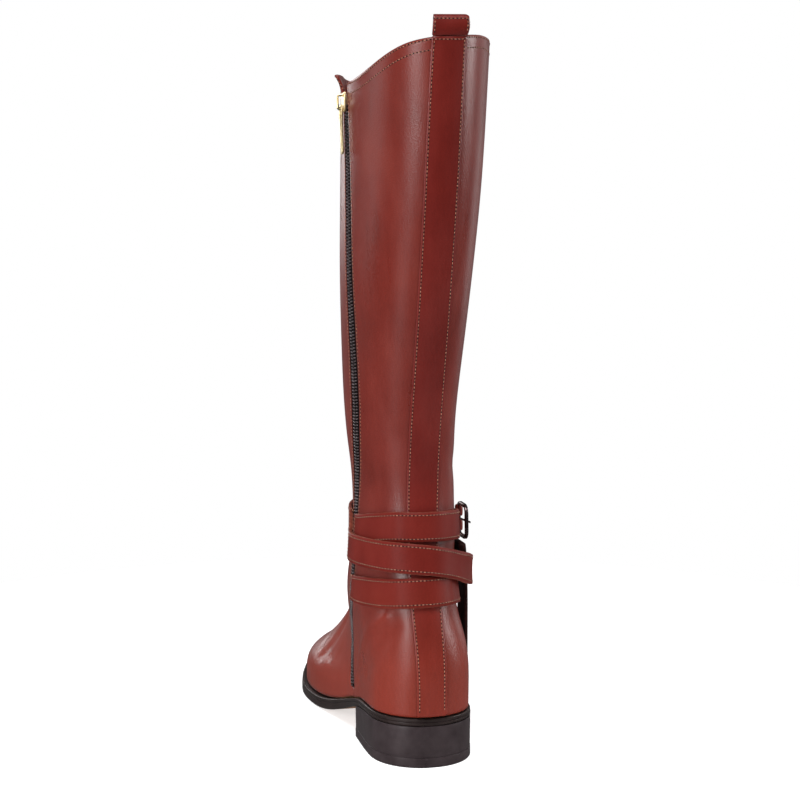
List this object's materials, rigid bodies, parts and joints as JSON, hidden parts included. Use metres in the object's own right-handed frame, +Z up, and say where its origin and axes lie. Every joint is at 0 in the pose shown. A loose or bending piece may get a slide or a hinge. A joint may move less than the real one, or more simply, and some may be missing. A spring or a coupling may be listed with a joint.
{
  "type": "knee-high riding boot",
  "caption": "Knee-high leather riding boot for the right foot, with an inner side zip, crossed ankle straps, a metal buckle and a low block heel.",
  "frame": {"origin": "on the floor, under the middle of the heel's round back", "axes": "+Z up the leg, +Y to the toe, +X to the outer side of the right leg"},
  "size_m": [0.0961, 0.2944, 0.4475],
  "materials": {
    "upper_leather": "smooth, satin",
    "sole_black": "satin",
    "insole_board": "matte",
    "strap_leather": "smooth, satin",
    "zip_black": "satin",
    "pale_metal": "polished"
  },
  "bodies": {
    "boot": {"upper": "upper_leather", "insole": "insole_board", "welt": "sole_black", "outsole": "sole_black", "heel_block": "sole_black", "top_lift": "sole_black", "back_stay": "upper_leather", "pull_loop": "upper_leather", "zip_chain": "zip_black", "zip_slider": "pale_metal", "strap_rear": "strap_leather", "strap_front": "strap_leather", "strap_cross": "strap_leather", "strap_lower": "strap_leather", "strap_tail": "strap_leather", "buckle_frame": "pale_metal", "buckle_prong": "pale_metal"},
    "zip_pull": {"zip_pull": "pale_metal"}
  },
  "joints": [
    {"name": "pull_swing", "type": "hinge", "parent": "boot", "child": "zip_pull", "pos_m": [-0.0469, 0.01408, 0.39373], "axis": [0.0079, 0.9879, -0.155], "range_deg": [0, 150]}
  ]
}
